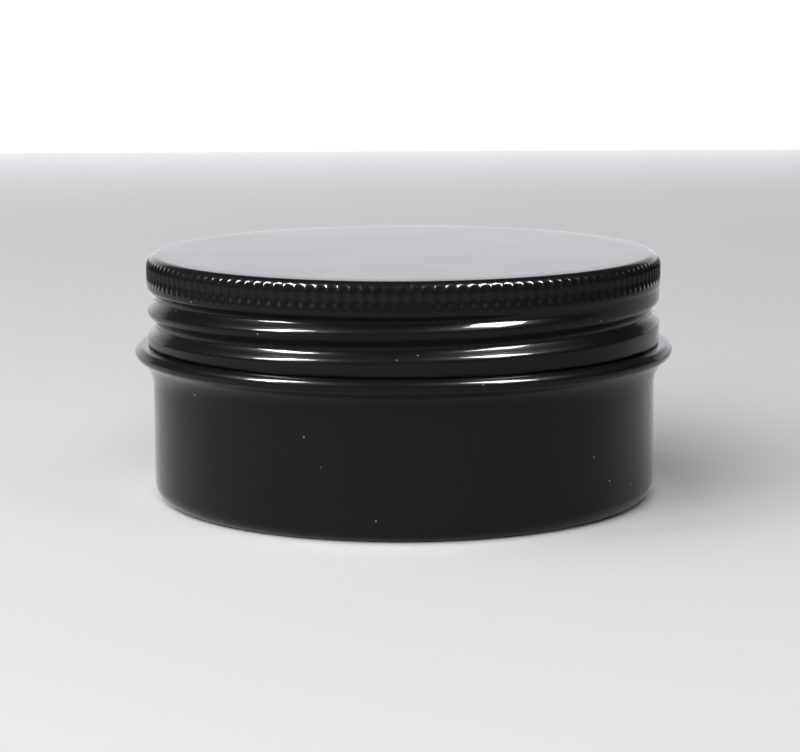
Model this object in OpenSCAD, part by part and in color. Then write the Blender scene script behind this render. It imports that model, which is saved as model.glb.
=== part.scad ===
// Round screw-top aluminium tin for candles: a drawn cup with a rolled bead, a threaded neck and a
// curled rim, a knurled screw lid, and a loose foam liner that seals the lid against the rim.
// The tin stands on z = 0 with its axis on Z. All sizes are in millimetres.

/* [Tin] */
// Diameter over the rolled bead, the widest part
bead_d = 84; // [80:1:88]
// Height of the closed tin
tin_h = 38.4; // [38.4:0.1:50]
// Thickness of the aluminium sheet
sheet = 0.4; // [0.35:0.05:0.45]

/* [Cup] */
// Diameter of the straight wall below the bead
body_d = 78.5; // [77:0.5:79]
// Radius of the bottom corner
foot_r = 2.8; // [2:0.1:4]
// How far the bottom panel is raised above the standing ring
panel_rise = 0.6; // [0.5:0.1:1.2]
// Thickness of the rolled bead
bead_t = 2.3; // [2:0.1:2.6]
// Height of the cup's rim above the middle of the bead
neck_h = 13.65; // [13.65:0.05:16]

/* [Lid] */
// Diameter over the knurled band
lid_d = 80.2; // [80:0.1:80.4]
// Radius of the lid's top edge
lid_edge_r = 1.8; // [1.6:0.05:1.85]
// Number of flutes in the knurled band
knurls = 148; // [96:4:160]
// Depth of a flute
knurl_depth = 0.4; // [0.25:0.05:0.4]
// Thickness of the foam liner
liner_t = 0.95; // [0.8:0.05:0.95]

/* [Thread] */
// Rise of the thread in one turn
pitch = 4.2; // [4:0.1:4.4]
// Depth of the thread rolled into the lid
lid_thread_depth = 1.28; // [1.1:0.02:1.3]
// Height of the thread rolled out of the neck
neck_thread_height = 1.25; // [1.1:0.05:1.3]

/* [Hidden] */
$fn = 180;

touch_gap = 0.05;            // between faces that meet without pressing
sink = 0.05;                 // how far a rib's root lies inside the wall that carries it
arc_steps = 10;              // straight steps in each bend of the sheet
helix_step = 6;              // degrees between the sections of a thread
rib_steps = 6;               // straight steps across a rib's rounded section
skirt_columns = 72;          // straight steps round the skirt
skirt_rows = 26;             // straight steps up the skirt

body_r = body_d / 2;
bead_r = bead_d / 2;
neck_r = 37.6;               // outside of the neck between the threads
rim_z = tin_h - sheet - liner_t - 2 * touch_gap;
bead_z = rim_z - neck_h;
bead_top = bead_z + bead_t / 2;
curl_r = 0.65;               // outside radius of the rim's curl
mouth_r = 36.55;             // inside of the rim
foot_ring_r = 35.2;          // where the raised panel meets the standing ring

lid_r = lid_d / 2;
skirt_r = lid_r - 0.1;       // outside of the skirt below the knurled band
skirt_bottom = bead_top + 0.1;
band_bottom = tin_h - 4.8;   // lower edge of the knurled band
band_inner_r = lid_r - 0.8;
band_ease = 1.2;             // height below the band over which the thread eases out
flute_r = 0.85;              // radius of the tool that leaves a flute
flute_low = band_bottom + 0.4;
flute_high = tin_h - 0.3;    // above where the flutes run out in the lid's top edge
liner_r = band_inner_r - 0.8;     // inside the lid's inner bend

// Both threads are right-handed and single. Heights are those at the front, which is -90 degrees.
front = -90;
lid_groove_z = 28.48;                 // middle of the lid's lower groove at the front
lid_thread = [-346, 326];             // where the lid's thread starts and ends, in degrees
neck_rib_z = lid_groove_z + 1.4;      // the neck's rib bears down on the lid's rib
neck_thread = [-380, 195];
lid_fade = [110, 60];                 // degrees over which the lid's thread runs out at its ends
neck_fade = [40, 40];
lid_lower_w = 1.78;                   // height of the lid's groove below its middle
lid_upper_w = 2.1;                    // and above it
neck_half_w = 1.3;                    // half the height of the neck's rib

function arc(b, r) = [for (i = [0:arc_steps])
    let (a = b[3] + (b[4] - b[3]) * i / arc_steps) [b[0] + r * cos(a), b[1] + r * sin(a)]];

// One face of a bent sheet. A bend is [centre r, centre z, radius of the sheet's middle, first angle,
// last angle], and off is how far the face lies to the right of the middle, going along the sheet.
function face(bends, off) = [for (b = bends) each arc(b, b[2] + sign(b[4] - b[3]) * off)];

function reversed(list) = [for (i = [len(list) - 1:-1:0]) list[i]];

// Radial length of a pair of opposite bends that steps a sheet sideways by step, at angle a.
function joggle_run(step, r, a) = 2 * r * sin(a) + (step - 2 * r * (1 - cos(a))) / tan(a);

// A solid of revolution of bent sheet that starts on the axis at height z of its middle.
module spun_sheet(z, bends) {
    right = face(bends, sheet / 2);
    left = face(bends, -sheet / 2);
    side = right[0][1] < left[0][1] ? -sheet / 2 : sheet / 2;
    rotate_extrude()
        polygon(concat([[0, z + side]], right, reversed(left), [[0, z - side]]));
}

// Rises smoothly from 0 to 1 as t goes from 0 to 1.
function ease(t) = (1 - cos(180 * min(1, max(0, t)))) / 2;

// Share of a thread's full height at angle a, rising and falling smoothly at its two ends.
function run_out(a, ends, fade) = ease((a - ends[0]) / fade[0]) * ease((ends[1] - a) / fade[1]);

// A rounded rib that winds round the axis. root and crest are radii, back is a radius beyond the root
// that closes the section, and z is the rib's height at the front.
module helical_rib(root, crest, back, half_w, z, ends, fade) {
    steps = ceil((ends[1] - ends[0]) / helix_step);
    section = rib_steps + 3;
    points = [for (i = [0:steps])
        let (a = ends[0] + (ends[1] - ends[0]) * i / steps,
             mid = z + pitch * (a - front) / 360,
             height = (crest - root) * run_out(a, ends, fade),
             outline = concat(
                 [for (j = [0:rib_steps]) let (u = 2 * j / rib_steps - 1)
                     [root + height * pow(cos(90 * u), 2), mid + half_w * u]],
                 [[back, mid + half_w], [back, mid - half_w]]))
        each [for (p = outline) [p[0] * cos(a), p[0] * sin(a), p[1]]]];
    sides = [for (i = [0:steps - 1], j = [0:section - 1])
        let (k = (j + 1) % section, p = i * section, q = p + section)
        each [[p + j, p + k, q + k], [p + j, q + k, q + j]]];
    caps = [[for (j = [section - 1:-1:0]) j], [for (j = [0:section - 1]) steps * section + j]];
    polyhedron(points, concat(sides, caps));
}

// The drawn cup: raised bottom panel, standing ring, wall, rolled bead, neck and curled rim.
module cup_sheet() {
    mid = sheet / 2;
    panel_bend = 0.8;
    panel_run = joggle_run(panel_rise, panel_bend, 45);
    bead_bend = (bead_t - sheet) / 2;
    under_angle = 55;
    under_bead = (bead_r - bead_t / 2 - body_r + mid + bead_bend * cos(under_angle))
        / (1 - cos(under_angle));
    under_z = bead_z - (under_bead + bead_bend) * sin(under_angle);
    over_bead = 0.6;
    neck_mid = neck_r - mid;
    shoulder_bend = 0.5;
    shoulder_angle = 50;
    shoulder_step = neck_r - sheet - mouth_r;
    shoulder_rise = 2 * shoulder_bend * sin(shoulder_angle)
        + (shoulder_step - 2 * shoulder_bend * (1 - cos(shoulder_angle))) / tan(shoulder_angle);
    curl_mid = curl_r - mid;
    curl_z = rim_z - curl_r;
    shoulder_z = curl_z - 0.05 - shoulder_rise;
    spun_sheet(panel_rise + mid, [
        [foot_ring_r - panel_run, panel_rise + mid - panel_bend, panel_bend, 90, 45],
        [foot_ring_r, mid + panel_bend, panel_bend, 225, 270],
        [body_r - foot_r, foot_r, foot_r - mid, 270, 360],
        [body_r - mid + under_bead, under_z, under_bead, 180, 180 - under_angle],
        [bead_r - bead_t / 2, bead_z, bead_bend, -under_angle, 90],
        [neck_mid + over_bead, bead_z + bead_bend + over_bead, over_bead, 270, 180],
        [neck_mid - shoulder_bend, shoulder_z, shoulder_bend, 0, shoulder_angle],
        [mouth_r + mid + shoulder_bend, shoulder_z + shoulder_rise, shoulder_bend,
            180 + shoulder_angle, 180],
        [mouth_r + mid + curl_mid, curl_z, curl_mid, 180, -60]]);
}

module base_cup() {
    color("#1b1b1c")
    difference() {
        union() {
            cup_sheet();
            helical_rib(neck_r - sink, neck_r + neck_thread_height, neck_r - sheet / 2,
                neck_half_w, neck_rib_z, neck_thread, neck_fade);
        }
        helical_rib(neck_r - sheet - sink, neck_r + neck_thread_height - sheet,
            neck_r - sheet - 0.4, neck_half_w - sheet / 3, neck_rib_z, neck_thread, neck_fade);
    }
}

// Depth of the lid's groove at angle a and height z, easing out under the band. extra widens it.
function groove_depth(a, z, extra) = min(1, max(0, (band_bottom - z) / band_ease)) * max([
    for (turn = [-2:1])
        let (b = a + 360 * turn,
             above = z - lid_groove_z - pitch * (b - front) / 360,
             u = above / ((above > 0 ? lid_upper_w : lid_lower_w) + extra))
        abs(u) < 1 ? lid_thread_depth * run_out(b, lid_thread, lid_fade) * pow(cos(90 * u), 2) : 0]);

// Radius of the skirt's outer face, side 0, or inner face, side 1.
function skirt_face_r(side, a, z) = skirt_r - side * sheet - groove_depth(a, z, side * sheet / 3);

// The skirt with the thread rolled into it: an outer face, an inner face and the two end rings.
module threaded_skirt() {
    high = band_bottom + 0.2;
    n = skirt_columns;
    points = [for (side = [0, 1], j = [0:skirt_rows], i = [0:n - 1])
        let (a = 360 * i / n, z = skirt_bottom + (high - skirt_bottom) * j / skirt_rows,
             r = skirt_face_r(side, a, z))
        [r * cos(a), r * sin(a), z]];
    inside = (skirt_rows + 1) * n;
    top = skirt_rows * n;
    outer_face = [for (j = [0:skirt_rows - 1], i = [0:n - 1])
        let (p = j * n + i, q = j * n + (i + 1) % n)
        each [[p, p + n, q + n], [p, q + n, q]]];
    inner_face = [for (f = outer_face) [for (p = reversed(f)) p + inside]];
    low_ring = [for (i = [0:n - 1]) let (k = (i + 1) % n)
        each [[i, k, k + inside], [i, k + inside, i + inside]]];
    high_ring = [for (f = low_ring) [for (p = reversed(f)) p + top]];
    polyhedron(points, concat(outer_face, inner_face, low_ring, high_ring));
}

// The lid's flat top and thick band, before its flutes.
module lid_cap() {
    inner_r = 0.9;
    rotate_extrude()
        polygon(concat(
            [[0, tin_h]],
            arc([lid_r - lid_edge_r, tin_h - lid_edge_r, lid_edge_r, 90, 0], lid_edge_r),
            [[lid_r, band_bottom], [band_inner_r, band_bottom]],
            arc([band_inner_r - inner_r, tin_h - sheet - inner_r, inner_r, 0, 90], inner_r),
            [[0, tin_h - sheet]]));
}

module flutes() {
    for (i = [0:knurls - 1])
        rotate(360 * i / knurls)
            translate([lid_r - knurl_depth + flute_r, 0, flute_low])
                cylinder(h = flute_high - flute_low, r = flute_r, $fn = 24);
}

module screw_lid() {
    color("#1b1b1c")
    union() {
        difference() {
            lid_cap();
            flutes();
        }
        threaded_skirt();
    }
}

// The loose disc of expanded foam that the rim presses up against the lid.
module foam_liner() {
    color("#f4f3ef")
    translate([0, 0, rim_z + touch_gap])
        cylinder(h = liner_t, r = liner_r);
}

base_cup();
screw_lid();
foam_liner();
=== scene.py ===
"""Looks for a round screw-top candle tin: black enamelled aluminium, with a foam liner in its lid.

The script is laid out as a Blender add-on. Each piece of the tin has its own operator, and so has the
stage. Lengths are in metres in the tin's own frame: +Z up, the tin standing on z = 0, front at -Y.
"""

import math

import bmesh
import bpy
from mathutils import Matrix, Vector


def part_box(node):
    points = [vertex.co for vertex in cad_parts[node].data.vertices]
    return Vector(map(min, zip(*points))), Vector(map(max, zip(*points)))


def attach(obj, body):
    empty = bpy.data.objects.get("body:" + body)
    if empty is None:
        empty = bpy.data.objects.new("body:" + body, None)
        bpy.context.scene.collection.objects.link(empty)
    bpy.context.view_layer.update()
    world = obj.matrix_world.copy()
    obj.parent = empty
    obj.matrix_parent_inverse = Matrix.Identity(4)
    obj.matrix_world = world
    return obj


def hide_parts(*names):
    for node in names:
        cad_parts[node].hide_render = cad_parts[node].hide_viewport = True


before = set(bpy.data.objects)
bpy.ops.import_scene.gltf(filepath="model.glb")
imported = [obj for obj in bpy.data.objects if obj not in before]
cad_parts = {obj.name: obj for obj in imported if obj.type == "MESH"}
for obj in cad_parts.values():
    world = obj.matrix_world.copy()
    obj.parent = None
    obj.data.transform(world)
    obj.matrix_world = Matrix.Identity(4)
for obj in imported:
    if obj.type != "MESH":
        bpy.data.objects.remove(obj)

bl_info = {
    "name": "Candle tin",
    "version": (1, 0, 0),
    "blender": (4, 5, 0),
    "location": "3D View > Sidebar > Candle tin",
    "description": "Builds the visible pieces of a screw-top candle tin and a small studio round it",
    "category": "Object",
}

MM = 0.001
# The front of the tin, as an angle about Z from +X.
FRONT = math.radians(-90)
# Vertices closer than this many metres are one.
WELD = 1e-8
# Sockets of a Mix node that mixes colours.
MIX_A = 6
MIX_B = 7
MIX_RESULT = 2
# Places of two bends in the list that cup_bends gives.
NECK_FOOT = 5
SHOULDER = 6
# Slope of the step round the cup's bottom panel, in degrees.
PANEL_SLOPE = 45
# A groove or rib is wider or narrower inside, by this share of the sheet's thickness on each side.
INSIDE_SHARE = 1 / 3
# Rows of the meshes along their profiles.
CROWN_ROWS = 8
EDGE_ROWS = 16
BAND_ROWS = 12
SKIRT_ROWS = 28
INSIDE_ROWS = 20
NECK_ROWS = 40
DENT_ROWS = 12
# The lights face this point, in the middle of the tin.
AIM = Vector((0, 0, 20 * MM))


def length(name, description, millimetres):
    """A length property whose default is given in millimetres."""
    return bpy.props.FloatProperty(
        name=name, description=description, default=millimetres * MM, unit="LENGTH", precision=5
    )


def angle(name, description, degrees):
    """An angle property whose default is given in degrees."""
    return bpy.props.FloatProperty(
        name=name, description=description, default=math.radians(degrees), subtype="ANGLE"
    )


def colour(hex_code):
    """Turns an sRGB hex colour such as "#202020" into linear RGBA."""
    channels = [int(hex_code[i : i + 2], 16) / 255 for i in (1, 3, 5)]
    linear = [c / 12.92 if c <= 0.04045 else ((c + 0.055) / 1.055) ** 2.4 for c in channels]
    return (*linear, 1.0)


def colour_choice(name, description, hex_code):
    """A colour property whose default is an sRGB hex colour."""
    return bpy.props.FloatVectorProperty(
        name=name, description=description, default=colour(hex_code), subtype="COLOR", size=4, min=0, max=1
    )


class TinColourSettings(bpy.types.PropertyGroup):
    """Colours of the tin, the floor and the backdrop."""

    enamel: colour_choice("Enamel", "Paint on the outside of the tin", "#171614")
    dust: colour_choice("Dust", "Specks of dust on the paint", "#8e8d8a")
    aluminium: colour_choice("Aluminium", "Bare metal inside the tin", "#d3d4d6")
    foam: colour_choice("Foam", "Middle of a cell of the foam liner", "#f1f0ec")
    # Painted shade: the foam's colour at the edge of a cell, where the grooves between the cells lie.
    foam_painted_shade: colour_choice("Foam shade", "Edge of a cell of the foam liner", "#dedcd6")
    paper: colour_choice("Paper", "The floor", "#f2f2f2")
    backlight: colour_choice("Backlight", "Glow of the backdrop", "#f6f5ff")


class TinThreadSettings(bpy.types.PropertyGroup):
    """The right-hand thread that the cup's neck and the lid share."""

    pitch: length("Pitch", "Rise of the thread in one turn", 4.2)
    groove_z: length("Groove height", "Middle of the lid's lower groove at the front", 28.48)
    rib_offset: length("Rib offset", "Height of the neck's rib above the lid's groove", 1.4)
    lid_start: angle("Lid thread start", "Where the lid's thread starts", -346)
    lid_end: angle("Lid thread end", "Where the lid's thread ends", 326)
    lid_start_fade: angle("Lid start fade", "Angle over which the lid's thread deepens", 110)
    lid_end_fade: angle("Lid end fade", "Angle over which the lid's thread runs out", 60)
    neck_start: angle("Neck thread start", "Where the neck's thread starts", -380)
    neck_end: angle("Neck thread end", "Where the neck's thread ends", 195)
    neck_fade: angle("Neck fade", "Angle over which the neck's thread runs out at each end", 40)


class TinLidSettings(bpy.types.PropertyGroup):
    """Sizes of the screw lid."""

    radius: length("Radius", "Radius over the knurled band", 40.1)
    edge_radius: length("Edge radius", "Radius of the bend round the top", 1.8)
    crown_width: length("Crown width", "Width over which the top starts to slope to its edge", 3)
    crown_drop: length("Crown drop", "How far the top slopes down there", 0.05)
    skirt_radius: length("Skirt radius", "Outside of the skirt under the band", 40.0)
    skirt_bottom: length("Skirt bottom", "Height of the skirt's lower edge", 24.55)
    inner_bend: length("Inner bend", "Radius of the bend inside the lid's corner", 0.9)
    inner_radius: length("Inner radius", "Inside of the knurled band", 39.3)
    band_bottom: length("Band bottom", "Height of the knurled band's lower edge", 33.6)
    band_step: length("Band step", "Height over which the skirt steps in under the band", 0.25)
    band_ease: length("Band ease", "Height under the band over which the thread eases out", 1.2)
    thread_depth: length("Thread depth", "Depth of the rolled thread", 1.28)
    lower_width: length("Lower width", "Height of the groove below its middle", 1.78)
    upper_width: length("Upper width", "Height of the groove above its middle", 2.1)
    knurl_depth: length("Knurl depth", "Depth of a flute in the knurled band", 0.4)
    flute_radius: length("Flute radius", "Radius of the tool that leaves a flute", 0.85)
    flute_low: length("Flute bottom", "Height at which the flutes start", 34.0)
    flute_fade: length("Flute fade", "Height over which a flute reaches its full depth", 1.6)
    flute_high: length("Flute top", "Height at which the flutes have run out on the top edge", 38.1)
    flute_run_out: length("Flute run-out", "Height over which the flutes run out there", 1.2)
    knurls: bpy.props.IntProperty(
        name="Knurls", description="Number of flutes in the knurled band", default=148, min=24
    )
    steps_per_knurl: bpy.props.IntProperty(
        name="Steps per knurl", description="Mesh steps across one flute", default=6, min=4
    )


class TinCupSettings(bpy.types.PropertyGroup):
    """Sizes of the drawn cup."""

    radius: length("Wall radius", "Outside of the straight wall", 39.25)
    foot_radius: length("Foot radius", "Radius of the bottom corner", 2.8)
    ring_radius: length("Ring radius", "Where the raised panel meets the standing ring", 35.2)
    panel_rise: length("Panel rise", "Height of the raised bottom panel", 0.6)
    panel_bend: length("Panel bend", "Radius of the bends round the panel", 0.8)
    bead_radius: length("Bead radius", "Radius over the rolled bead", 42)
    bead_z: length("Bead height", "Height of the middle of the bead", 23.3)
    bead_thickness: length("Bead thickness", "Thickness of the rolled bead", 2.3)
    bead_slant: angle("Bead slant", "How far the cove under the bead turns outward", 55)
    neck_bend: length("Neck bend", "Radius of the bend where the neck leaves the bead", 0.6)
    neck_radius: length("Neck radius", "Outside of the neck between the threads", 37.6)
    thread_height: length("Thread height", "How far the neck's rib stands out", 1.25)
    thread_half_width: length("Thread half width", "Half the height of the rib", 1.3)
    shoulder_bend: length("Shoulder bend", "Radius of the bends above the neck's thread", 0.5)
    shoulder_slope: angle("Shoulder slope", "Slope of the shoulder above the thread", 50)
    shoulder_gap: length("Shoulder gap", "Straight run between the shoulder and the curl", 0.05)
    rim_z: length("Rim height", "Height of the curled rim", 36.95)
    mouth_radius: length("Mouth radius", "Inside of the rim", 36.55)
    curl_radius: length("Curl radius", "Outside radius of the rim's curl", 0.65)
    segments: bpy.props.IntProperty(
        name="Segments", description="Mesh steps round the cup", default=360, min=96
    )


class TinLinerSettings(bpy.types.PropertyGroup):
    """Sizes of the foam liner."""

    edge_radius: length("Edge radius", "Rounding of the cut edge", 0.12)
    dent_radius: length("Dent radius", "Radius of the ring that the rim has pressed in", 37.2)
    dent_width: length("Dent width", "Half the width of the pressed ring", 0.9)
    dent_depth: length("Dent depth", "Depth of the pressed ring", 0.15)
    segments: bpy.props.IntProperty(
        name="Segments", description="Mesh steps round the liner", default=240, min=48
    )


class TinStageSettings(bpy.types.PropertyGroup):
    """The studio: floor, backdrop, lights and camera."""

    lens: bpy.props.FloatProperty(
        name="Lens", description="Focal length of the camera in millimetres", default=123.1, unit="CAMERA"
    )
    offset: length("Camera offset", "Camera to the right of the tin's axis", -0.58)
    distance: length("Camera distance", "Camera to the tin's axis along the ground", 425.6)
    height: length("Camera height", "Height of the camera above the ground", 86.7)
    tilt: angle("Camera tilt", "How far the camera looks down", 9.1)
    roll: angle("Camera roll", "How far the camera is turned about its line of sight", 0.26)
    floor_reach: length("Floor reach", "Tin's axis to the floor's front and side edges", 3000)
    backdrop_distance: length("Backdrop distance", "Tin's axis to the backdrop", 700)
    backdrop_width: length("Backdrop width", "Width of the backdrop", 1500)
    backdrop_height: length("Backdrop height", "Height of the backdrop", 330)
    backdrop_light: bpy.props.FloatProperty(
        name="Backdrop light", description="Brightness of the backlit backdrop", default=1.0
    )
    backdrop_top_light: bpy.props.FloatProperty(
        name="Backdrop top light", description="Brightness at the backdrop's upper edge", default=0.2
    )
    glow_low: length("Glow low", "Height at which the backdrop's glow starts to fade", 140)
    glow_high: length("Glow high", "Height at which it has faded", 330)
    ambient_light: bpy.props.FloatProperty(
        name="Ambient light", description="Brightness of the dark room round the stage", default=0.04
    )
    fill_light: bpy.props.FloatProperty(
        name="Fill light", description="Power of the soft front light", default=13.0, unit="POWER"
    )
    ceiling_light: bpy.props.FloatProperty(
        name="Ceiling light", description="Power of the soft overhead light", default=7.0, unit="POWER"
    )
    left_light: bpy.props.FloatProperty(
        name="Left light", description="Power of the left softbox", default=45.0, unit="POWER"
    )
    right_light: bpy.props.FloatProperty(
        name="Right light", description="Power of the right softbox", default=45.0, unit="POWER"
    )


class TinSettings(bpy.types.PropertyGroup):
    """Everything the operators read."""

    sheet: length("Sheet", "Thickness of the aluminium sheet", 0.4)
    colours: bpy.props.PointerProperty(type=TinColourSettings, name="Colours", description="The colours")
    thread: bpy.props.PointerProperty(type=TinThreadSettings, name="Thread", description="The thread")
    lid: bpy.props.PointerProperty(type=TinLidSettings, name="Lid", description="The lid's sizes")
    cup: bpy.props.PointerProperty(type=TinCupSettings, name="Cup", description="The cup's sizes")
    liner: bpy.props.PointerProperty(type=TinLinerSettings, name="Liner", description="The liner's sizes")
    stage: bpy.props.PointerProperty(type=TinStageSettings, name="Stage", description="The studio")


# Materials


def add_node(tree, kind, settings=None, inputs=None):
    """Adds a shader node, sets its properties, and fills or links its inputs."""
    node = tree.nodes.new(kind)
    for name, value in (settings or {}).items():
        setattr(node, name, value)
    for name, value in (inputs or {}).items():
        if isinstance(value, bpy.types.NodeSocket):
            tree.links.new(value, node.inputs[name])
        else:
            node.inputs[name].default_value = value
    return node


def new_material(name):
    """Makes an empty node material and returns it with its tree and its object coordinate."""
    material = bpy.data.materials.new(name)
    material.use_nodes = True
    tree = material.node_tree
    tree.nodes.clear()
    where = add_node(tree, "ShaderNodeTexCoord").outputs["Object"]
    return material, tree, where


def finish_material(tree, shader_inputs):
    """Adds the Principled shader and the output."""
    shader = add_node(tree, "ShaderNodeBsdfPrincipled", inputs=shader_inputs)
    add_node(tree, "ShaderNodeOutputMaterial", inputs={"Surface": shader.outputs["BSDF"]})


def black_enamel(name, colours):
    """Gloss black stoving enamel, sprayed on: a mirror-like skin with a faint ripple and a little dust."""
    material, tree, where = new_material(name)
    # Sprayed enamel dries with a ripple about 1.5 mm across.
    ripple = add_node(
        tree,
        "ShaderNodeTexNoise",
        inputs={"Vector": where, "Scale": 1 / (1.5 * MM), "Detail": 2.0, "Roughness": 0.5},
    )
    bump = add_node(
        tree,
        "ShaderNodeBump",
        inputs={"Height": ripple.outputs["Fac"], "Strength": 0.05, "Distance": 0.02 * MM},
    )
    # Handling leaves patches about 12 mm across that are a little less sharp.
    patches = add_node(
        tree,
        "ShaderNodeTexNoise",
        inputs={"Vector": where, "Scale": 1 / (12 * MM), "Detail": 4.0, "Roughness": 0.6},
    )
    haze = add_node(
        tree,
        "ShaderNodeMapRange",
        inputs={
            "Value": patches.outputs["Fac"],
            "From Min": 0.3,
            "From Max": 0.7,
            "To Min": 0.28,
            "To Max": 0.36,
        },
    )
    # Dust: a speck in some of the cells, which are about 3 mm across. A speck is 0.2 to 0.3 mm across.
    cells = add_node(tree, "ShaderNodeTexVoronoi", inputs={"Vector": where, "Scale": 1 / (3 * MM)})
    near = add_node(
        tree,
        "ShaderNodeMapRange",
        inputs={
            "Value": cells.outputs["Distance"],
            "From Min": 0.03,
            "From Max": 0.05,
            "To Min": 1.0,
            "To Max": 0.0,
        },
    )
    chosen = add_node(
        tree,
        "ShaderNodeMath",
        settings={"operation": "GREATER_THAN"},
        inputs={0: cells.outputs["Color"], 1: 0.6},
    )
    speck = add_node(
        tree,
        "ShaderNodeMath",
        settings={"operation": "MULTIPLY"},
        inputs={0: near.outputs["Result"], 1: chosen.outputs["Value"]},
    )
    skin = add_node(
        tree,
        "ShaderNodeMix",
        settings={"data_type": "RGBA"},
        inputs={"Factor": speck.outputs["Value"], MIX_A: colours.enamel, MIX_B: colours.dust},
    )
    # The clear skin carries nearly all the gloss. Its index is low, as the reflections on it are dark.
    finish_material(
        tree,
        {
            "Base Color": skin.outputs[MIX_RESULT],
            "Roughness": haze.outputs["Result"],
            "IOR": 1.45,
            "Specular IOR Level": 0.03,
            "Coat Weight": 1.0,
            "Coat Roughness": 0.04,
            "Coat IOR": 1.17,
            "Normal": bump.outputs["Normal"],
            "Coat Normal": bump.outputs["Normal"],
        },
    )
    return material


def bare_aluminium(name, colours):
    """Bare drawn aluminium under clear lacquer: silver, with fine rings left by the press."""
    material, tree, where = new_material(name)
    flat = add_node(
        tree,
        "ShaderNodeVectorMath",
        settings={"operation": "MULTIPLY"},
        inputs={0: where, 1: (1.0, 1.0, 0.0)},
    )
    radius = add_node(
        tree,
        "ShaderNodeVectorMath",
        settings={"operation": "LENGTH"},
        inputs={0: flat.outputs["Vector"]},
    )
    parts = add_node(tree, "ShaderNodeSeparateXYZ", inputs={"Vector": where})
    rings_at = add_node(
        tree, "ShaderNodeCombineXYZ", inputs={"X": radius.outputs["Value"], "Y": parts.outputs["Z"]}
    )
    # The rings are about 0.25 mm apart.
    rings = add_node(
        tree,
        "ShaderNodeTexNoise",
        inputs={"Vector": rings_at.outputs["Vector"], "Scale": 1 / (0.25 * MM), "Detail": 3.0},
    )
    bump = add_node(
        tree,
        "ShaderNodeBump",
        inputs={"Height": rings.outputs["Fac"], "Strength": 0.12, "Distance": 0.02 * MM},
    )
    sheen = add_node(
        tree,
        "ShaderNodeMapRange",
        inputs={"Value": rings.outputs["Fac"], "To Min": 0.2, "To Max": 0.38},
    )
    finish_material(
        tree,
        {
            "Base Color": colours.aluminium,
            "Metallic": 1.0,
            "Roughness": sheen.outputs["Result"],
            "Coat Weight": 0.4,
            "Coat Roughness": 0.12,
            "Normal": bump.outputs["Normal"],
        },
    )
    return material


def white_foam(name, colours):
    """Expanded polyethylene foam, cut from sheet: soft white, with cells that can just be seen."""
    material, tree, where = new_material(name)
    # The cells are about 0.7 mm across.
    cells = add_node(tree, "ShaderNodeTexVoronoi", inputs={"Vector": where, "Scale": 1 / (0.7 * MM)})
    bump = add_node(
        tree,
        "ShaderNodeBump",
        settings={"invert": True},
        inputs={"Height": cells.outputs["Distance"], "Strength": 0.35, "Distance": 0.1 * MM},
    )
    # Painted shade: the colour darkens from each cell's middle towards its edge, in the grooves that the
    # bump leaves between the cells.
    tint = add_node(
        tree,
        "ShaderNodeMix",
        settings={"data_type": "RGBA"},
        inputs={"Factor": cells.outputs["Distance"], MIX_A: colours.foam, MIX_B: colours.foam_painted_shade},
    )
    finish_material(
        tree,
        {
            "Base Color": tint.outputs[MIX_RESULT],
            "Roughness": 0.8,
            "IOR": 1.5,
            "Subsurface Weight": 0.4,
            "Subsurface Radius": (1.0, 0.95, 0.9),
            "Subsurface Scale": 0.8 * MM,
            "Normal": bump.outputs["Normal"],
        },
    )
    return material


# Each finish: the material's name and the function that makes it.
ENAMEL = ("Gloss black stoving enamel", black_enamel)
ALUMINIUM = ("Lacquered drawn aluminium", bare_aluminium)
FOAM = ("White expanded polyethylene foam", white_foam)


def paint(piece, colours, *finishes):
    """Gives the piece its materials, making each one the first time it is used."""
    for name, make in finishes:
        material = bpy.data.materials.get(name) or make(name, colours)
        piece.data.materials.append(material)


# Meshes


def arc(centre_r, centre_z, radius, first, last, steps, **tags):
    """Profile points along a bend, from one angle to the other in degrees."""
    points = []
    for i in range(steps + 1):
        a = math.radians(first + (last - first) * i / steps)
        points.append((centre_r + radius * math.cos(a), centre_z + radius * math.sin(a), tags))
    return points


def line(r0, z0, r1, z1, steps, **tags):
    """Profile points inside a straight run, both ends left out."""
    shares = [i / steps for i in range(1, steps)]
    return [(r0 + (r1 - r0) * t, z0 + (z1 - z0) * t, tags) for t in shares]


def lathe(name, profile, segments, layers):
    """Turns a profile of (r, z, tags) round Z, and merges it at the seam and on the axis.

    Each of the layers becomes a vertex layer that holds the tag of the same name.
    """
    mesh = bpy.data.meshes.new(name)
    count = len(profile)
    mesh.from_pydata([(r, 0, z) for r, z, _ in profile], [(i, i + 1) for i in range(count - 1)], [])
    for layer in layers:
        values = [tags.get(layer, 0.0) for _, _, tags in profile]
        mesh.attributes.new(layer, "FLOAT", "POINT").data.foreach_set("value", values)
    outline = bpy.data.objects.new(name, mesh)
    bpy.context.collection.objects.link(outline)
    turn = outline.modifiers.new("Lathe", "SCREW")
    turn.steps = segments
    turn.render_steps = segments
    turn.use_merge_vertices = True
    turn.merge_threshold = WELD
    turned = outline.evaluated_get(bpy.context.evaluated_depsgraph_get())
    bm = bmesh.new()
    bm.from_mesh(turned.to_mesh())
    turned.to_mesh_clear()
    bpy.data.objects.remove(outline)
    bpy.data.meshes.remove(mesh)
    bmesh.ops.remove_doubles(bm, verts=bm.verts, dist=WELD)
    return bm, {layer: bm.verts.layers.float[layer] for layer in layers}


def finish_piece(name, bm):
    """Turns the normals outward, shades the mesh smooth and puts it in the scene."""
    mesh = bpy.data.meshes.new(name)
    bmesh.ops.recalc_face_normals(bm, faces=bm.faces)
    for face in bm.faces:
        face.smooth = True
    bm.to_mesh(mesh)
    bm.free()
    piece = bpy.data.objects.new(name, mesh)
    bpy.context.collection.objects.link(piece)
    return piece


def paint_inside(bm, layer, first, second):
    """Gives faces whose corners are all tagged the second material, and the others the first."""
    for face in bm.faces:
        inside = all(vert[layer] > 0.5 for vert in face.verts)
        face.material_index = second if inside else first


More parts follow.
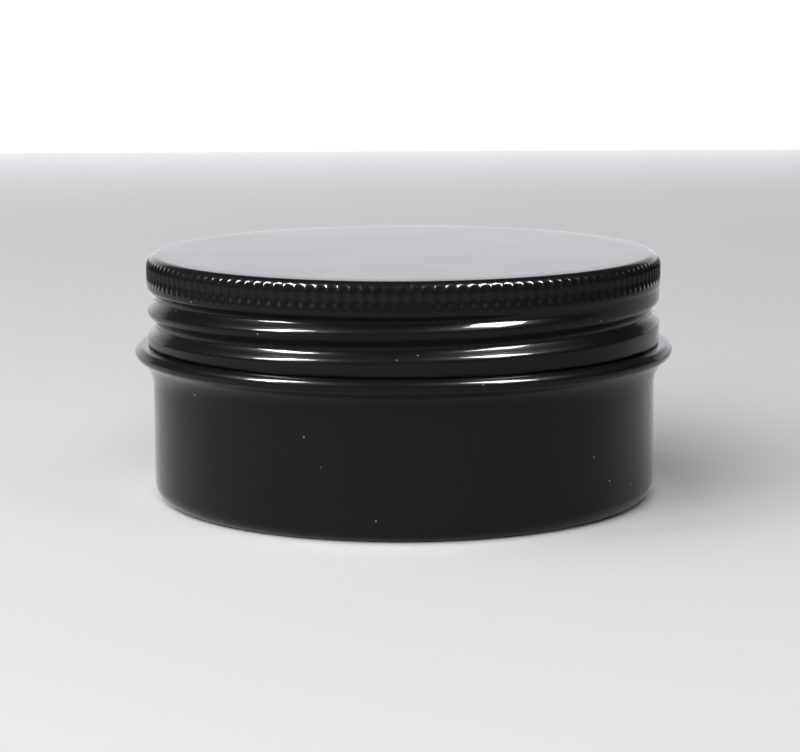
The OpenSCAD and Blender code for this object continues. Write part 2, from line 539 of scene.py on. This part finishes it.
def ease(t):
    """0 below 0, 1 above 1, and half a cosine wave between them."""
    return (1 - math.cos(math.pi * min(1.0, max(0.0, t)))) / 2


def thread_share(a, z, pitch, middle, widths, ends, fades):
    """Share of a thread's full height at angle a and height z.

    middle is the thread's height at the front, widths are its heights below and above its middle,
    and ends and fades are where it ends and how far it takes to run out there.
    """
    share = 0.0
    # The thread passes the same side of the tin more than once, so each turn is tried.
    for turn in range(-2, 3):
        b = a + 2 * math.pi * turn
        above = z - middle - pitch * (b - FRONT) / (2 * math.pi)
        u = above / widths[above > 0]
        if ends[0] < b < ends[1] and abs(u) < 1:
            run_out = ease((b - ends[0]) / fades[0]) * ease((ends[1] - b) / fades[1])
            share = max(share, run_out * math.cos(math.pi * u / 2) ** 2)
    return share


def move_out(vert, distance):
    """Moves a vertex away from the axis."""
    r = math.hypot(vert.co.x, vert.co.y)
    vert.co.x *= (r + distance) / r
    vert.co.y *= (r + distance) / r


def smooth_step(low, high, value):
    """0 below low, 1 above high, and a smooth rise between them."""
    t = min(1.0, max(0.0, (value - low) / (high - low)))
    return t * t * (3 - 2 * t)


def lid_profile(tin, top):
    """The lid's outline, from the middle of its top, down outside and up inside to the middle."""
    lid = tin.lid
    sheet = tin.sheet
    skirt = lid.skirt_radius
    edge_r = lid.radius - lid.edge_radius
    edge_z = top - lid.edge_radius - lid.crown_drop
    low = lid.skirt_bottom
    band = lid.band_bottom
    lip = sheet / 2
    inner_band = lid.inner_radius
    step_z = band - lid.band_step
    points = [(0, top, {})]
    points += line(0, top, edge_r - lid.crown_width, top, steps=3)
    for i in range(CROWN_ROWS + 1):
        t = i / CROWN_ROWS
        points.append((edge_r - lid.crown_width * (1 - t), top - lid.crown_drop * t * t, {}))
    slope = math.degrees(math.atan(2 * lid.crown_drop / lid.crown_width))
    points += arc(edge_r, edge_z, lid.edge_radius, 90 - slope, 0, EDGE_ROWS, knurl=1)[1:]
    points += line(lid.radius, edge_z, lid.radius, band, BAND_ROWS, knurl=1)
    points += [(lid.radius, band, {"knurl": 1}), (skirt, step_z, {})]
    points += line(skirt, step_z, skirt, low + lip, SKIRT_ROWS, thread=1)
    points += arc(skirt - lip, low + lip, lip, 0, -180, steps=4, thread=1)
    points += line(skirt - sheet, low + lip, skirt - sheet, step_z, INSIDE_ROWS, thread=1, inside=1)
    points += [(skirt - sheet, step_z, {"inside": 1}), (inner_band, band, {"inside": 1})]
    inner_r = lid.inner_bend
    points += arc(inner_band - inner_r, top - sheet - inner_r, inner_r, 0, 90, steps=4, inside=1)
    points += line(inner_band - inner_r, top - sheet, 0, top - sheet, steps=4, inside=1)
    points += [(0, top - sheet, {"inside": 1})]
    return points


def flute_depth(lid, a):
    """Depth of the flutes at angle a: round scoops with narrow flat lands between them."""
    turn = a * lid.knurls / (2 * math.pi)
    off = (turn - round(turn)) * 2 * math.pi * lid.radius / lid.knurls
    tool = lid.flute_radius
    return max(0.0, lid.knurl_depth - tool + math.sqrt(max(0.0, tool * tool - off * off)))


def roll_lid(tin, bm, layers):
    """Presses the flutes into the band and the thread into the skirt."""
    lid = tin.lid
    thread = tin.thread
    ends = (thread.lid_start, thread.lid_end)
    fades = (thread.lid_start_fade, thread.lid_end_fade)
    pitch = thread.pitch
    for vert in bm.verts:
        a = math.atan2(vert.co.y, vert.co.x)
        z = vert.co.z
        if vert[layers["knurl"]]:
            rise = smooth_step(lid.flute_low, lid.flute_low + lid.flute_fade, z)
            fall = smooth_step(lid.flute_high - lid.flute_run_out, lid.flute_high, z)
            move_out(vert, -flute_depth(lid, a) * rise * (1 - fall))
        if vert[layers["thread"]]:
            extra = vert[layers["inside"]] * tin.sheet * INSIDE_SHARE
            widths = (lid.lower_width + extra, lid.upper_width + extra)
            under_band = min(1.0, max(0.0, (lid.band_bottom - z) / lid.band_ease))
            share = thread_share(a, z, pitch, thread.groove_z, widths, ends, fades)
            move_out(vert, -lid.thread_depth * share * under_band)


def joggle_run(step, radius, a):
    """Radial length of a pair of opposite bends that steps a sheet by step, at angle a in radians."""
    return 2 * radius * math.sin(a) + (step - 2 * radius * (1 - math.cos(a))) / math.tan(a)


def cup_bends(tin):
    """The bends of the cup's sheet: centre r and z, radius of the sheet's middle, two angles, steps."""
    cup = tin.cup
    mid = tin.sheet / 2
    panel = cup.panel_bend
    panel_run = joggle_run(cup.panel_rise, panel, math.radians(PANEL_SLOPE))
    bead_bend = cup.bead_thickness / 2 - mid
    bead_r = cup.bead_radius - cup.bead_thickness / 2
    slant = cup.bead_slant
    under = (bead_r - cup.radius + mid + bead_bend * math.cos(slant)) / (1 - math.cos(slant))
    under_z = cup.bead_z - (under + bead_bend) * math.sin(slant)
    turned = math.degrees(slant)
    over = cup.neck_bend
    neck = cup.neck_radius - mid
    bend = cup.shoulder_bend
    slope = cup.shoulder_slope
    step = cup.neck_radius - tin.sheet - cup.mouth_radius
    rise = 2 * bend * math.sin(slope) + (step - 2 * bend * (1 - math.cos(slope))) / math.tan(slope)
    sloped = math.degrees(slope)
    curl = cup.curl_radius - mid
    curl_z = cup.rim_z - cup.curl_radius
    shoulder_z = curl_z - cup.shoulder_gap - rise
    foot = cup.foot_radius
    return [
        (cup.ring_radius - panel_run, cup.panel_rise + mid - panel, panel, 90, 90 - PANEL_SLOPE, 4),
        (cup.ring_radius, mid + panel, panel, 270 - PANEL_SLOPE, 270, 4),
        (cup.radius - foot, foot, foot - mid, 270, 360, 12),
        (cup.radius - mid + under, under_z, under, 180, 180 - turned, 8),
        (bead_r, cup.bead_z, bead_bend, -turned, 90, 12),
        (neck + over, cup.bead_z + bead_bend + over, over, 270, 180, 6),
        (neck - bend, shoulder_z, bend, 0, sloped, 4),
        (cup.mouth_radius + mid + bend, shoulder_z + rise, bend, 180 + sloped, 180, 4),
        (cup.mouth_radius + mid + curl, curl_z, curl, 180, -60, 14),
    ]


def cup_face(bends, offset, neck_low, neck_high, neck_r, **tags):
    """Profile points of one face of the cup's sheet, offset to the outside of its middle."""
    points = []
    for index, (r, z, radius, first, last, steps) in enumerate(bends):
        turn = 1 if last > first else -1
        points += arc(r, z, radius + turn * offset, first, last, steps, **tags)
        if index == NECK_FOOT:
            points += line(neck_r, neck_low, neck_r, neck_high, NECK_ROWS, thread=1, **tags)
    return points


def cup_profile(tin):
    """The cup's outline, from the middle of its underside, up outside, round the rim and back inside."""
    mid = tin.sheet / 2
    bends = cup_bends(tin)
    neck = tin.cup.neck_radius
    neck_low = bends[NECK_FOOT][1]
    neck_high = bends[SHOULDER][1]
    panel_r, panel_z, panel_bend = bends[0][:3]
    low = panel_z + panel_bend
    outside = cup_face(bends, mid, neck_low, neck_high, neck)
    inside = cup_face(bends, -mid, neck_low, neck_high, neck - tin.sheet, inside=1)
    inside.reverse()
    start = [(0, low - mid, {}), (panel_r / 2, low - mid, {})]
    end = [(panel_r / 2, low + mid, {"inside": 1}), (0, low + mid, {"inside": 1})]
    return start + outside + inside + end


def roll_neck(tin, bm, layers):
    """Rolls the neck's rib outward."""
    cup = tin.cup
    thread = tin.thread
    middle = thread.groove_z + thread.rib_offset
    ends = (thread.neck_start, thread.neck_end)
    fades = (thread.neck_fade, thread.neck_fade)
    for vert in bm.verts:
        if vert[layers["thread"]]:
            a = math.atan2(vert.co.y, vert.co.x)
            half = cup.thread_half_width - vert[layers["inside"]] * tin.sheet * INSIDE_SHARE
            share = thread_share(a, vert.co.z, thread.pitch, middle, (half, half), ends, fades)
            move_out(vert, cup.thread_height * share)


def liner_profile(settings, radius, low, high):
    """The liner's outline, from the middle of its top to the middle of its underside."""
    edge = settings.edge_radius
    points = [(0, high, {})]
    points += line(0, high, radius - edge, high, steps=4)
    points += arc(radius - edge, high - edge, edge, 90, 0, steps=3)
    points += arc(radius - edge, low + edge, edge, 0, -90, steps=3)
    centre = settings.dent_radius
    half = settings.dent_width
    for i in range(DENT_ROWS + 1):
        u = 1 - 2 * i / DENT_ROWS
        dent = settings.dent_depth * math.cos(math.pi * u / 2) ** 2
        points.append((centre + half * u, low + dent, {}))
    points += line(centre - half, low, 0, low, steps=4)
    points += [(0, low, {})]
    return points


# Operators


class TIN_OT_lid(bpy.types.Operator):
    """Builds the screw lid: flat top, knurled band and rolled thread"""

    bl_idname = "tin.lid"
    bl_label = "Screw lid"
    bl_options = {"REGISTER", "UNDO"}

    def execute(self, context):
        tin = context.scene.candle_tin
        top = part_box("screw_lid")[1][2]
        layers = ("knurl", "thread", "inside")
        segments = tin.lid.knurls * tin.lid.steps_per_knurl
        bm, tags = lathe("lid_shell", lid_profile(tin, top), segments, layers)
        roll_lid(tin, bm, tags)
        paint_inside(bm, tags["inside"], 0, 1)
        piece = finish_piece("lid_shell", bm)
        paint(piece, tin.colours, ENAMEL, ALUMINIUM)
        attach(piece, "lid")
        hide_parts("screw_lid")
        return {"FINISHED"}


class TIN_OT_cup(bpy.types.Operator):
    """Builds the drawn cup: raised panel, wall, bead, threaded neck and curled rim"""

    bl_idname = "tin.cup"
    bl_label = "Cup"
    bl_options = {"REGISTER", "UNDO"}

    def execute(self, context):
        tin = context.scene.candle_tin
        layers = ("thread", "inside")
        bm, tags = lathe("cup_shell", cup_profile(tin), tin.cup.segments, layers)
        roll_neck(tin, bm, tags)
        paint_inside(bm, tags["inside"], 0, 1)
        piece = finish_piece("cup_shell", bm)
        paint(piece, tin.colours, ENAMEL, ALUMINIUM)
        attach(piece, "base")
        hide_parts("base_cup")
        return {"FINISHED"}


class TIN_OT_liner(bpy.types.Operator):
    """Builds the foam liner, with the ring that the rim has pressed into it"""

    bl_idname = "tin.liner"
    bl_label = "Foam liner"
    bl_options = {"REGISTER", "UNDO"}

    def execute(self, context):
        tin = context.scene.candle_tin
        low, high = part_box("foam_liner")
        profile = liner_profile(tin.liner, high[0], low[2], high[2])
        bm, _ = lathe("liner_disc", profile, tin.liner.segments, ())
        piece = finish_piece("liner_disc", bm)
        paint(piece, tin.colours, FOAM)
        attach(piece, "liner")
        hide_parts("foam_liner")
        return {"FINISHED"}


# Stage


def backlit_acrylic(stage, glow_colour):
    """White acrylic lit from behind: an even glow that fades between two heights, as a low lamp gives.

    Its own surface is black here, so that only the glow shows.
    """
    material, tree, where = new_material("Backlit white acrylic")
    parts = add_node(tree, "ShaderNodeSeparateXYZ", inputs={"Vector": where})
    glow = add_node(
        tree,
        "ShaderNodeMapRange",
        inputs={
            "Value": parts.outputs["Z"],
            "From Min": stage.glow_low,
            "From Max": stage.glow_high,
            "To Min": stage.backdrop_light,
            "To Max": stage.backdrop_top_light,
        },
    )
    finish_material(
        tree,
        {
            "Base Color": colour("#000000"),
            "Roughness": 0.6,
            "Emission Color": glow_colour,
            "Emission Strength": glow.outputs["Result"],
        },
    )
    return material


def white_paper(paper_colour):
    """Matt white paper for the floor: soft and even, with hardly any gloss."""
    material, tree, where = new_material("Matt white paper")
    # Paper fibre is about 2 mm across in clumps.
    grain = add_node(
        tree, "ShaderNodeTexNoise", inputs={"Vector": where, "Scale": 1 / (2 * MM), "Detail": 2.0}
    )
    bump = add_node(
        tree,
        "ShaderNodeBump",
        inputs={"Height": grain.outputs["Fac"], "Strength": 0.02, "Distance": 0.05 * MM},
    )
    finish_material(
        tree,
        {
            "Base Color": paper_colour,
            "Roughness": 0.9,
            "Specular IOR Level": 0.2,
            "Normal": bump.outputs["Normal"],
        },
    )
    return material


def stage_sheet(name, corners, material):
    """A flat stage piece from four corners."""
    mesh = bpy.data.meshes.new(name)
    mesh.from_pydata(corners, [], [(0, 1, 2, 3)])
    mesh.materials.append(material)
    sheet = bpy.data.objects.new(name, mesh)
    bpy.context.collection.objects.link(sheet)


def softbox(name, power, azimuth, elevation, distance, width, height):
    """A rectangular light that faces the tin. Azimuth 0 is the front, and it grows to the right.

    The angles are in degrees, and the distance and size in metres.
    """
    a = math.radians(azimuth)
    e = math.radians(elevation)
    away = Vector((math.sin(a) * math.cos(e), -math.cos(a) * math.cos(e), math.sin(e)))
    data = bpy.data.lights.new(name, "AREA")
    data.shape = "RECTANGLE"
    data.size = width
    data.size_y = height
    data.energy = power
    light = bpy.data.objects.new(name, data)
    light.location = AIM + away * distance
    light.rotation_euler = away.to_track_quat("Z", "Y").to_euler()
    bpy.context.collection.objects.link(light)
    return light


class TIN_OT_stage(bpy.types.Operator):
    """Builds the floor, the backdrop, the lights and the camera"""

    bl_idname = "tin.stage"
    bl_label = "Stage"
    bl_options = {"REGISTER", "UNDO"}

    def execute(self, context):
        tin = context.scene.candle_tin
        stage = tin.stage
        reach = stage.floor_reach
        back = stage.backdrop_distance
        half = stage.backdrop_width / 2
        top = stage.backdrop_height
        paper = white_paper(tin.colours.paper)
        panel = backlit_acrylic(stage, tin.colours.backlight)
        stage_sheet(
            "floor", [(-reach, -reach, 0), (reach, -reach, 0), (reach, back, 0), (-reach, back, 0)], paper
        )
        stage_sheet(
            "backdrop", [(-half, back, 0), (half, back, 0), (half, back, top), (-half, back, top)], panel
        )
        left = softbox(
            "Left softbox",
            stage.left_light,
            azimuth=-67,
            elevation=43,
            distance=0.75,
            width=0.18,
            height=0.36,
        )
        right = softbox(
            "Right softbox",
            stage.right_light,
            azimuth=55,
            elevation=51,
            distance=0.75,
            width=0.22,
            height=0.36,
        )
        ceiling = softbox(
            "Ceiling", stage.ceiling_light, azimuth=-80, elevation=55, distance=1.2, width=1.4, height=1.4
        )
        fill = softbox(
            "Fill", stage.fill_light, azimuth=-20, elevation=30, distance=1.2, width=1.4, height=0.6
        )
        # The narrow lights only draw the highlights, and the wide ones only light the matt surfaces.
        for light in (left, right):
            light.visible_diffuse = False
        for light in (ceiling, fill):
            light.visible_glossy = False
        world = bpy.data.worlds.new("Studio")
        world.use_nodes = True
        grey = stage.ambient_light
        world.node_tree.nodes["Background"].inputs["Color"].default_value = (grey, grey, grey, 1)
        context.scene.world = world
        camera = bpy.data.cameras.new("Camera")
        camera.lens = stage.lens
        camera.sensor_width = 36
        camera.clip_start = 0.01
        camera.clip_end = 20
        eye = bpy.data.objects.new("Camera", camera)
        eye.matrix_world = (
            Matrix.Translation((stage.offset, -stage.distance, stage.height))
            @ Matrix.Rotation(math.radians(90) - stage.tilt, 4, "X")
            @ Matrix.Rotation(-stage.roll, 4, "Z")
        )
        bpy.context.collection.objects.link(eye)
        context.scene.camera = eye
        context.scene.view_settings.view_transform = "Standard"
        return {"FINISHED"}


class TIN_PT_panel(bpy.types.Panel):
    """Lists the tin's operators in the sidebar"""

    bl_label = "Candle tin"
    bl_idname = "TIN_PT_panel"
    bl_space_type = "VIEW_3D"
    bl_region_type = "UI"
    bl_category = "Candle tin"

    def draw(self, context):
        for operator in OPERATORS:
            self.layout.operator(operator.bl_idname)


OPERATORS = (TIN_OT_cup, TIN_OT_lid, TIN_OT_liner, TIN_OT_stage)
CLASSES = (
    TinColourSettings,
    TinThreadSettings,
    TinLidSettings,
    TinCupSettings,
    TinLinerSettings,
    TinStageSettings,
    TinSettings,
    *OPERATORS,
    TIN_PT_panel,
)


def register():
    """Registers the classes and gives the scene its settings."""
    for cls in CLASSES:
        bpy.utils.register_class(cls)
    bpy.types.Scene.candle_tin = bpy.props.PointerProperty(
        type=TinSettings, name="Candle tin", description="Settings of the candle tin"
    )


def unregister():
    """Takes the settings and the classes away again."""
    del bpy.types.Scene.candle_tin
    for cls in reversed(CLASSES):
        bpy.utils.unregister_class(cls)


def main():
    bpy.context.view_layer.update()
    register()
    bpy.ops.tin.cup()
    bpy.ops.tin.lid()
    bpy.ops.tin.liner()
    bpy.ops.tin.stage()


if __name__ == "__main__":
    main()
